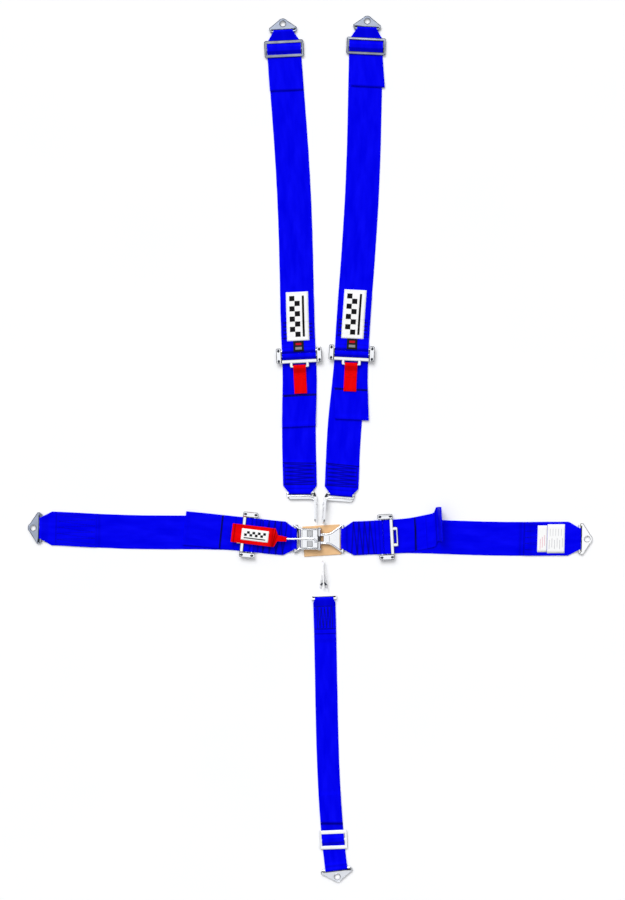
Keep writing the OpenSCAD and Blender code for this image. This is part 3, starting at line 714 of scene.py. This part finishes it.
def smoothed(points, count=6):
    """A curve through every point."""
    ends = [points[0] * 2 - points[1]] + points + [points[-1] * 2 - points[-2]]
    out = []
    for a, b, c, d in zip(ends, ends[1:], ends[2:], ends[3:]):
        for k in range(count):
            u = k / count
            out.append(0.5 * (2 * b + (c - a) * u + (2 * a - 5 * b + 4 * c - d) * u * u
                              + (3 * b - a - 3 * c + d) * u ** 3))
    return out + [points[-1]]


# A rod's rounded end: (radii past the end of its line, share of its radius)
CAP = ((0.38, 0.93), (0.7, 0.72), (0.92, 0.4), (1.0, 0.0))


def rods(name, body, paths, radius, material):
    """Round bars with rounded ends along smooth curves through points in mm."""
    sides = 16
    bm = bmesh.new()
    for points in paths:
        line = smoothed([Vector(q) for q in points])
        stations = ([(line[0], share, -shift) for shift, share in CAP[::-1]] + [(q, 1.0, 0.0) for q in line]
                    + [(line[-1], share, shift) for shift, share in CAP])
        rings = []
        for i, (q, share, shift) in enumerate(stations):
            at = min(max(i - len(CAP), 0), len(line) - 1)
            along = (line[min(at + 1, len(line) - 1)] - line[max(at - 1, 0)]).normalized()
            side = along.cross(UP).normalized()
            over = side.cross(along)
            centre = q + along * shift * radius
            if share == 0:
                rings.append([bm.verts.new(centre * MM)])
                continue
            rings.append([bm.verts.new((centre + (side * math.cos(w) + over * math.sin(w)) * radius * share) * MM)
                          for w in (2 * math.pi * k / sides for k in range(sides))])
        for low, high in zip(rings, rings[1:]):
            for k in range(sides):
                m = (k + 1) % sides
                quad = [low[k % len(low)], low[m % len(low)], high[m % len(high)], high[k % len(high)]]
                bm.faces.new(list(dict.fromkeys(quad))).smooth = True
    obj = solid(name, bm, material)
    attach(obj, body)


buckle = hinge_at("left_loop_hinge")[0] + Vector((LATCH_BAR, 0, -BAR_Z))
for name, body, radius, spots in (
        ("latch_yoke", "latch", 2.5, ((-20, 21.5, 7), (-26, 24.5, 6.6), (-33, 30, 5.2))),
        ("link_rims", "link", 2.2, ((31, 10.4, 9.9), (40, 10.4, 9.9), (48, 12.6, 9.5), (56, 17.6, 8.2),
                                    (64, 23.2, 6.7), (72, 29, 5.8)))):
    rods(name, body, [[buckle + Vector((x, side * y, z)) for x, y, z in spots] for side in (1, -1)], radius, CHROME)
for side, way in (("left", 1), ("right", -1)):
    p, d = hinge_at(f"{side}_shoulder_fitting_hinge")
    out = UP.cross(d) * way
    level = Vector((0, 0, BAR_Z - p.z))
    sweep = ((8.3, -28), (8.3, 0), (8.5, 20), (10.5, 29), (16, 35), (26, 37.6))
    rods(f"{side}_shoulder_fitting_sweep", f"{side}_shoulder_fitting", [[p + level + d * s + out * v for s, v in sweep]],
         2.1, CHROME)
    # A dark strip in the fitting's bend: painted dark reflection
    rods(f"{side}_shoulder_fitting_bend", f"{side}_shoulder_fitting",
         [[p + level + Vector((0, 0, 2.2)) + d * s + out * v for s, v in ((2.5, 32.2), (8, 34), (14, 35.4))]],
         2.3, DARK_BEND_REFLECTION)
p, d = hinge_at("crotch_fitting_hinge")
across, level = UP.cross(d), Vector((0, 0, BAR_Z - p.z))
twist = ((26, 6.6, 2.0), (34, 6.2, 3.4), (44, 4.0, 6.0), (55, 1.6, 8.6))
rods("crotch_fitting_twist", "crotch_fitting",
     [[p + level + d * s + across * v * side + UP * z for s, v, z in twist] for side in (1, -1)], 2.5, SATIN)
# A dark arc at the crotch fitting's fork: painted dark reflection in its bend
rods("crotch_fitting_bend", "crotch_fitting",
     [[p + level + d * s + across * v + UP * 6.5 for s, v in ((32.5, -5.6), (36, 0), (32.5, 5.6))]], 1.9, DARK_BEND_REFLECTION)

# Dark spots at the corners of each adjuster frame's ears, where the plate bends: painted shade and dark reflection, not
# real parts
for belt in BELTS:
    p, d = hinge_at(f"{belt}_adjuster_hinge")
    out, top = UP.cross(d), UP * (12.2 - p.z)
    rods(f"{belt}_adjuster_bend_shade_spots", f"{belt}_adjuster",
         [[p + top + d * (s + k) + out * v for k in (-1.3, 1.3)] for s in (-1.5, 22) for v in (-45.8, 45.8)],
         2.3, DARK_BEND_REFLECTION)


# ---- belts ----

# A profile is a list of (s, z, bend radius) in mm, from a free end to the far side

def flat_end(length, hem):
    """A hemmed free end lying on the belt."""
    return [(length - hem, Z2, 0), (length - 12, Z2, 10), (length - 5, Z1 + 2.4, 4), (length, Z1 + 2.4, 1),
            (length, Z1, 1), (15, Z1, 6)]


def curled_end(flat, rise):
    """A free end that lies flat for a while and then stands up."""
    lean = 4.0
    return [(flat - 30, Z2, 0), (flat - Z1 - 0.2, Z2, 7.5), (flat + lean - Z1, rise, 0.73),
            (flat + lean, rise, 0.73), (flat, Z1, 9), (15, Z1, 6)]


def wrap():
    """Round an adjuster's sliding bar."""
    return [(5, WRAP_TOP, 5), (-EYE - 2.9, WRAP_TOP, EYE), (-EYE - 2.9, Z0, EYE - 0.1)]


def sewn_eye(run, r, sewn):
    """Round a bar of radius r and back under, sewn over the last stretch."""
    top = Z0 + 2 * r
    return [(run - sewn - 8, Z0, 12), (run - sewn, Z1, 12), (run - 16, Z1, 8), (run - 2, top, 5), (run + r, top, r),
            (run + r, Z0, r), (run - sewn + 3, Z0, 0)]


def tail_lift(s, end):
    """A free end doesn't lie quite flat."""
    return 1.1 * max(0.0, (s - 40) / (end - 40)) ** 2 if s > 40 else 0.0


def belt_below(belt, end_hinge, free_end, r, sewn, eye_width, tail_yaw, bow, seed, dents, bands, tail_end,
               climb=0.0):
    """Webbing from a free end, round an adjuster's sliding bar and on to a sewn eye. climb is how far the free end
    shifts sideways just before its tip."""
    lap = belt.endswith("lap")
    p0, d0 = hinge_at(f"{belt}_belt_hinge" if lap else f"{belt}_lower_hinge")
    main = route(p0, d0, *hinge_at(f"{belt}_{end_hinge}_hinge"), bow)
    run = main.run
    tail = stepped(veer(route(p0, d0, p0 + d0 * run, d0), TURN_AT, tail_yaw), CLIMB_AT, CLIMB_OVER, climb)
    strokes = [((run - s, v), (run - q, w)) for (s, v), (q, w) in dents]
    grooves = [(leg, s if leg == 0 else run - s, w, k, tilt) for leg, s, w, k, tilt in bands]
    node = f"{belt}_webbing" if lap else f"{belt}_lower_webbing"
    made = Belt(node, f"{belt}_belt" if lap else f"{belt}_lower", free_end + wrap() + sewn_eye(run, r, sewn),
                [tail, main], tapered(WEB, [(run, -1, eye_width)], 24 if lap else 15), BLUE, seed,
                fine=[(run - 72, run - 16)] if not lap else [],
                dents=[] if lap else strokes, bands=grooves,
                lift=lambda s, v, leg: tail_lift(s, tail_end) if leg == 0 else 0.0,
                flat=(WEB, [f"{belt}_{end_hinge}"]))
    return made, strokes, run


TURN_AT, CLIMB_AT, CLIMB_OVER = 18, 107, 8
LAP_SEAM = zigzag_along(36, 122, 31, 9)
SHOULDER_SEAM = zigzag(20, 64, 31.5, 10)
# Below the shoulder adjusters: grooves with painted shade where the end is sewn, and a fold at the bar
SHOULDER_BANDS = [(1, 18, 0.9, 0.9, -0.02), (1, 9, 1.6, 0.3, 0.0), (0, 4, 2.4, 0.6, 0.0)]
# In the band lists below, the hem rows and folds are grooves with painted shade in them
belts = {
    "left_lap": belt_below(
        "left_lap", "anchor", flat_end(143, 84), PLATE_EYE, 122, 48, 0.0, 6.5, 3, LAP_SEAM,
        [(0, HEM["left_lap"], 0.9, 1.0, 0.0), (1, 131, 3.0, 0.2, 0.0), (1, 34, 1.0, 0.25, 0.0),
         (0, 30, 2.0, 0.25, 0.0)], 143),
    "right_lap": belt_below(
        "right_lap", "anchor", curled_end(119, 42), PLATE_EYE, 122, 48, 9.0, -5.0, 4, LAP_SEAM,
        [(0, HEM["right_lap"], 1.0, 1.0, 0.04), (1, 124, 2.0, 0.4, 0.0), (1, 132, 3.0, 0.3, 0.0),
         (1, 111, 5.0, 0.12, 0.0), (0, 112, 2.0, 0.5, 0.0)], 121, 12.0),
    "left_shoulder": belt_below(
        "left_shoulder", "fitting", flat_end(158, 72), EYE, 66, 50, -4.2, -3.0, 5, SHOULDER_SEAM,
        [(0, HEM["left_shoulder"], 0.9, 1.0, 0.02), (1, 66, 0.9, 0.95, 0.01)] + SHOULDER_BANDS, 158),
    "right_shoulder": belt_below(
        "right_shoulder", "fitting", flat_end(147, 69), EYE, 66, 50, 4.4, -4.5, 6, SHOULDER_SEAM,
        [(0, HEM["right_shoulder"], 0.9, 1.0, 0.02), (1, 66, 0.9, 0.95, 0.02)] + SHOULDER_BANDS, 147)}

for name, (belt, strokes, run) in belts.items():
    lap = name.endswith("lap")
    box = [on_belt(belt, frame_of(run - (124 if lap else 66), run - (34 if lap else 18), 32.5), 1)]
    cross = [on_belt(belt, [a, b], 1) for a, b in strokes]
    sew(f"{name}_end_seam", belt.body, BLUE_THREAD, cross + (box if lap else []))
    if not lap:
        sew(f"{name}_box_seam", belt.body, THREAD, box, pitch=3.0, radius=0.5, share=0.85)
    rows = [HEM[name] + q for q in ((0.0, 1.7) if lap else (-0.8, 0.9, 2.6))]
    sew(f"{name}_hem_seam", belt.body, THREAD, [on_belt(belt, [(s, -36.5), (s, 36.5)], 0) for s in rows],
        pitch=3.0, radius=0.75, share=0.95)


def over_slide(s, lift, way):
    """Over a three-bar slide at s, lift above the webbing's first layer, forwards or backwards."""
    spots = [(-11.5 - lift * 0.5, Z0 + lift), (-4 - lift * 0.4, SLIDE_TOP + Z0 + lift),
             (4 + lift * 0.4, SLIDE_TOP + Z0 + lift), (11.5 + lift * 0.5, Z0 + lift)]
    return [(s + a, z, 3) for a, z in (spots if way > 0 else spots[::-1])]


uppers = {}
for side, tail_s, seed, tail_yaw, bow in (("left", 133, 7, 1.2, 6.5), ("right", 130, 8, 6.5, 6.5)):
    body = f"{side}_shoulder_upper"
    p0, d0 = hinge_at(f"{side}_shoulder_anchor_hinge", -1)
    main = route(p0, d0, *hinge_at(f"{side}_shoulder_adjuster_hinge"), bow)
    run = main.run
    tail = veer(route(p0, d0, p0 + d0 * run, d0), 47, tail_yaw, 20)
    sewn = 66
    strokes = zigzag(run - 64, run - 30, 32, 8)
    corners = ([(tail_s, Z1, 0)] + over_slide(SLIDE_S, Z1 - Z0, -1)
               + [(SLIDE_S - 20, Z1, 5), (1, PLATE_BAR_Z + PLATE_EYE, 5),
                  (-PLATE_EYE, PLATE_BAR_Z + PLATE_EYE, PLATE_EYE), (-PLATE_EYE, Z0, PLATE_EYE)]
               + over_slide(SLIDE_S, 0, 1)
               + [(tail_s + 6, Z0, 12), (run - sewn - 60, Z0, 12), (run - sewn - 52, Z1, 12), (run - 16, Z1, 8),
                  (run - 2, BAR_Z + EYE, 5), (run + EYE, BAR_Z + EYE, EYE), (run + EYE, Z0, EYE), (run - sewn, Z0, 0)])
    # Its bands are grooves and folds with painted shade in them
    upper = Belt(f"{side}_shoulder_upper_webbing", body, corners, [tail, main], tapered(WEB, [(0, 1, 44)]), BLUE, seed,
                 fine=[(run - 70, run - 8)], dents=strokes,
                 bands=[(1, run - 28, 0.9, 0.8, 0.02), (1, run - 9, 0.8, 0.35, 0.0), (1, run + 1, 2.2, 0.4, 0.0)],
                 flat=(WEB, [f"{side}_shoulder_anchor"]),
                 lift=lambda s, v, leg, end=tail_s: (1.6 * max(0.0, (s - 70) / (end - 70)) ** 2 if leg == 0 and s > 70
                                                     else 0.0))
    uppers[side] = (upper, run)
    sew(f"{side}_shoulder_upper_seam", body, THREAD, [on_belt(upper, [a, b], 1) for a, b in strokes]
        + [on_belt(upper, frame_of(run - 66, run - 28, 32), 1)], radius=0.5)

# Short loops between the buckle and the lap adjusters
for side, seed in (("left", 9), ("right", 10)):
    line = route(*hinge_at(f"{side}_loop_hinge", -1), *hinge_at(f"{side}_lap_adjuster_hinge"))
    run, top = line.run, BAR_Z + EYE
    corners = [(run / 2, Z0, 0), (-EYE, Z0, EYE), (-EYE, top, EYE), (2, top, 5), (16, Z1, 8), (run - 16, Z1, 8),
               (run - 2, top, 5), (run + EYE, top, EYE), (run + EYE, Z0, EYE), (run / 2 + 0.6, Z0, 0)]
    strokes = zigzag(19, run - 18, 37, 8)
    # Its bands are grooves and folds with painted shade in them
    loop = Belt(f"{side}_loop_webbing", f"{side}_loop", corners, line, tapered(WEB, [(0, 1, 46)]), BLUE, seed,
                fine=[(12, run - 10)], dents=strokes,
                bands=[(0, 9, 2.0, 0.35, 0.0), (0, run - 13, 0.9, 0.7, 0.0), (0, run - 4, 1.6, 0.4, 0.0)],
                flat=(WEB, [f"{side}_lap_adjuster_fixed_bar"]))
    sew(f"{side}_loop_seam", f"{side}_loop", THREAD,
        [on_belt(loop, [a, b]) for a, b in strokes] + [on_belt(loop, [(22, -35), (run - 14, -36)]),
                                                      on_belt(loop, [(22, 35), (run - 14, 36)])], radius=0.45)

# Crotch belt
line = route(*hinge_at("crotch_fitting_hinge", -1), *hinge_at("crotch_anchor_hinge"))
run = line.run
slide_at = run - 66
corners = ([(86, Z0, 0), (-EYE, Z0, EYE), (-EYE, BAR_Z + EYE, EYE), (2, BAR_Z + EYE, 5), (16, Z1, 8), (90, Z1, 12),
            (98, Z0, 12), (slide_at - 108, Z0, 12), (slide_at - 100, Z1, 12)]
           + [(slide_at + a, z, 3) for a, z in ((-12.2, Z1), (-4.6, SLIDE_TOP + Z1),
                                                (4.6, SLIDE_TOP + Z1), (12.2, Z1))]
           + [(run - 14, Z1, 6), (run - 2, PLATE_BAR_Z + PLATE_EYE, 4),
              (run + PLATE_EYE, PLATE_BAR_Z + PLATE_EYE, PLATE_EYE), (run + PLATE_EYE, Z0, PLATE_EYE)]
           + over_slide(slide_at, 0, -1) + [(slide_at - 96, Z0, 0)])
# The deep band before the slide is a dip with a painted shadow across the belt; the other bands are grooves with
# painted shade
crotch = Belt("crotch_webbing", "crotch_strap", corners, line, tapered(NARROW, [(0, 1, 42)], 9), BLUE, 11,
              fine=[(10, 80)], flat=(NARROW, ["crotch_slide"]),
              bands=[(0, 17, 0.9, 0.55, 0.0), (0, 68, 0.9, 0.7, 0.0), (0, 79, 0.9, 0.75, 0.0),
                     (0, slide_at - 36, 3.4, 0.85, 0.09), (0, slide_at - 22, 6.0, 0.25, 0.0),
                     (0, run - 7, 2.5, 0.3, 0.0)])
sew("crotch_end_seam", "crotch_strap", THREAD, [on_belt(crotch, [a, b]) for a, b in zigzag_along(19, 66, 15, 8)]
    + [on_belt(crotch, frame_of(17, 68, 17))], radius=0.7, share=0.85)

# Red pull tabs
TAB_T, TAB_HALF, TAB_LONG = 1.1, 14.2, 61
TAB_EYE = 2.4 + GAP + TAB_T / 2
TAB_Z, TAB_LOW = 10.05, 5.2
for side, seed in (("left", 12), ("right", 13)):
    p, d = hinge_at(f"{side}_shoulder_pull_tab_hinge")
    line = route(p, d, p + d * TAB_LONG, d)
    corners = [(TAB_LONG, TAB_LOW, 0), (12, TAB_LOW, 8), (3, TAB_Z - TAB_EYE, 3),
               (-TAB_EYE, TAB_Z - TAB_EYE, TAB_EYE), (-TAB_EYE, TAB_Z + TAB_EYE, TAB_EYE), (4, TAB_Z + TAB_EYE, 4),
               (15, TAB_LOW + TAB_T + GAP, 8), (TAB_LONG, TAB_LOW + TAB_T + GAP, 0)]
    tab = Belt(f"{side}_shoulder_pull_tab", f"{side}_shoulder_pull_tab", corners, line, lambda s: TAB_HALF, RED, seed,
               thickness=TAB_T, slot="pull_webbing", step=3.0,
               flat=(2 * TAB_HALF, [f"{side}_shoulder_adjuster_frame"]))
    sew(f"{side}_pull_tab_seam", tab.body, RED_THREAD,
        [on_belt(tab, frame_of(18, 30, 11.5)), on_belt(tab, [(18, -11), (30, 11)]), on_belt(tab, [(18, 11), (30, -11)]),
         on_belt(tab, [(56, -12), (56, 12)])], pitch=2.4, radius=0.25)


# ---- labels, tags and the lever's pull ----

def patch(name, body, at, spans, height, half, material, thickness=0.4):
    """A thin rectangle of cloth that stands for the node it is named after: at(s, v) is its place in plan, and
    height(s) its middle height."""
    s0, s1 = spans
    bm = bmesh.new()
    cloth, art = bm.loops.layers.uv.new("Cloth"), bm.loops.layers.uv.new("Print")
    rows, cols = max(3, round((s1 - s0) / 3)), 10
    layers = []
    for off in (thickness / 2, -thickness / 2):
        grid = []
        for i in range(rows + 1):
            s = s0 + (s1 - s0) * i / rows
            row = []
            for j in range(cols + 1):
                v = half * (2 * j / cols - 1)
                edge = min(1, i, rows - i, j, cols - j)
                p = at(s, v)
                z = height(s) + off * (0.55 + 0.45 * edge)
                row.append((bm.verts.new(Vector((p.x, p.y, z)) * MM), (v * MM, s * MM), (j / cols, i / rows)))
            grid.append(row)
        layers.append(grid)

    def face(corners):
        made = bm.faces.new([c[0] for c in corners])
        made.smooth = True
        for loop, c in zip(made.loops, corners):
            loop[cloth].uv, loop[art].uv = c[1], c[2]

    for i in range(rows):
        for j in range(cols):
            for grid in layers:
                face([grid[i][j], grid[i][j + 1], grid[i + 1][j + 1], grid[i + 1][j]])
    rim = ([(0, j) for j in range(cols)] + [(i, cols) for i in range(rows)] + [(rows, j) for j in range(cols, 0, -1)]
           + [(i, 0) for i in range(rows, 0, -1)])
    for (i, j), (k, l) in zip(rim, rim[1:] + rim[:1]):
        face([layers[0][i][j], layers[0][k][l], layers[1][k][l], layers[1][i][j]])
    obj = solid(name, bm, material)
    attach(obj, body)
    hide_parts(name)


for side in ("left", "right"):
    upper, run = uppers[side]
    body = f"{side}_shoulder_upper"
    main = upper.legs[1]
    far = run - 23

    def label_height(s, belt=upper):
        return belt.top(s, 0, 1).z / MM + 0.3

    def tag_height(s, run=run):
        return Z1 + 1.25 + min(max(0.0, s - run + 16.3), 14) * (BAR_Z + EYE - Z1) / 14

    patch(f"{side}_shoulder_label", body, main, (far - 110, far), label_height, 25, LABEL)
    first, last, out = far - 108, far - 2, 23
    seam = ([(first, v) for v in np.linspace(-out, out, 12)] + [(s, out) for s in np.linspace(first, last, 26)]
            + [(last, v) for v in np.linspace(out, -out, 12)] + [(s, -out) for s in np.linspace(last, first, 26)])
    sew(f"{side}_label_seam", body, WHITE_THREAD,
        [[Vector((main(s, v).x, main(s, v).y, label_height(s) + 0.25)) * MM for s, v in seam]],
        pitch=2.2, radius=0.16)
    patch(f"{side}_shoulder_tag", body, main, (run - 22.5, run + 2), tag_height, 12, TAG, 0.5)

lap, _, run = belts["right_lap"]
for name, spans, half, look in (("right_lap_label", (run - 72, run - 33), 32.5, CARE_LABEL),
                                ("right_lap_date_label", (run - 94, run - 72.6), 30, DATE_LABEL)):
    patch(name, "right_lap_belt", lap.legs[1], spans, lambda s: Z1 + Z0 + 0.35 + 0.12, half, look)

# The lever's pull: webbing folded over the rod's end, narrow there and wide beyond
PULL_LONG = 117
rod_lo, rod_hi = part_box("lever_rod")
rod_end = Vector((rod_lo.x / MM + 2, hinge_at("lever_hinge")[0].y, 0))
rod_z = (rod_lo.z + rod_hi.z) / 2 / MM
pull_d = heading(173)
pull_line = route(rod_end, pull_d, rod_end + pull_d * PULL_LONG, pull_d)


def pull_half(s):
    return 5.2 + 1.2 * smooth((s + 4) / 10) + 14.6 * smooth((s - 12) / 9)


# The dents and bands paint shade across the pull, darkest across it at s = 21
pull = Belt("lever_pull", "lever", [(-7, rod_z, 0), (40, rod_z + 0.3, 60), (PULL_LONG, rod_z - 1.6, 0)], pull_line,
            pull_half, RED, 14, thickness=4.4, slot="pull_webbing", step=2.0,
            dents=[((14, -12), (22, 20)), ((25, -20), (25, 20)), ((111, -21), (111, 21))],
            bands=[(0, 21, 1.3, 0.9, 0.12), (0, 28, 2.5, 0.25, 0.0)])
sew("lever_pull_seam", "lever", RED_THREAD,
    [on_belt(pull, frame_of(25, 109, 17.5)), on_belt(pull, [(3, -4), (3, 4)]), on_belt(pull, [(8, -4), (8, 4)])],
    pitch=2.4, radius=0.25)
patch("lever_pull_label", "lever", pull_line, (34, 95), lambda s: pull.top(s, 0).z / MM + 0.25, 12.8, PULL_LABEL)

# Leather pad
PAD_WIDE, PAD_S0, PAD_S1, PAD_Z = 68.0, 0.3, 83.7, 1.15
pad_lo, pad_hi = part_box("leather_pad")
pad_mid = (pad_lo + pad_hi) / 2 / MM + Vector((2, -3, 0))
pad_d = heading(3.6)
pad_line = route(pad_mid - pad_d * 42, pad_d, pad_mid + pad_d * 42, pad_d)
pad = Belt("leather_pad", "latch", [(PAD_S0, PAD_Z, 0), (42, PAD_Z, 300), (PAD_S1, PAD_Z, 0)], pad_line,
           lambda s: PAD_WIDE / 2, LEATHER, 15, thickness=2.1, slot="leather", step=3.0)


# ---- stage, light and camera ----

def stage():
    """A plain pale floor, just under the belts."""
    mesh = bpy.data.meshes.new("floor")
    half = 6.0
    mesh.from_pydata([(-half, -half, 0), (half, -half, 0), (half, half, 0), (-half, half, 0)], [], [(0, 1, 2, 3)])
    n = Nodes("floor")
    place = n.place()
    body = n.mix(n.noise(place, 3.0), (0.93, 0.93, 0.94), (0.97, 0.97, 0.97))
    mesh.materials.append(n.finish(Base_Color=body, Roughness=0.8, Specular_IOR_Level=0.1))
    floor = added("floor", mesh)
    floor.location.z = -0.0002


def world():
    """A soft studio: brighter overhead than at the sides, with one darker band for the metal to mirror."""
    w = bpy.data.worlds.new("studio")
    bpy.context.scene.world = w
    w.use_nodes = True
    tree = w.node_tree
    background = tree.nodes["Background"]
    coord = tree.nodes.new("ShaderNodeTexCoord")
    tilt = tree.nodes.new("ShaderNodeVectorMath")
    tilt.operation = "DOT_PRODUCT"
    tilt.inputs[1].default_value = Vector((-0.1, 0.3, 0.95)).normalized()
    ramp = tree.nodes.new("ShaderNodeValToRGB")
    tree.links.new(coord.outputs["Generated"], tilt.inputs[0])
    tree.links.new(tilt.outputs["Value"], ramp.inputs[0])
    tree.links.new(ramp.outputs[0], background.inputs[0])
    band = ramp.color_ramp
    while len(band.elements) < 6:
        band.elements.new(0.5)
    for element, (height, shade) in zip(band.elements, ((0.0, 0.03), (0.42, 0.06), (0.54, 0.55), (0.62, 0.3),
                                                        (0.74, 0.95), (1.0, 1.0))):
        element.position, element.color = height, (shade, shade * 1.01, shade * 1.03, 1)
    background.inputs[1].default_value = 1.1


stage()
world()
light = bpy.data.lights.new("sun", "SUN")
light.energy, light.angle = 1.6, math.radians(32)
sun = added("sun", light)
sun.rotation_euler = Vector((0.5, -1.1, -1.5)).to_track_quat("-Z", "Y").to_euler()

CAMERA_UP = 4.0
PHOTO_TALL = 2.025  # height of floor the picture takes in
PHOTO_MIDDLE = (0.0054, -0.0027)
data = bpy.data.cameras.new("camera")
data.lens = data.sensor_width * CAMERA_UP / PHOTO_TALL
data.clip_end = 50
camera = added("camera", data)
camera.location = (*PHOTO_MIDDLE, CAMERA_UP)
bpy.context.scene.camera = camera
bpy.context.scene.view_settings.view_transform = "Standard"
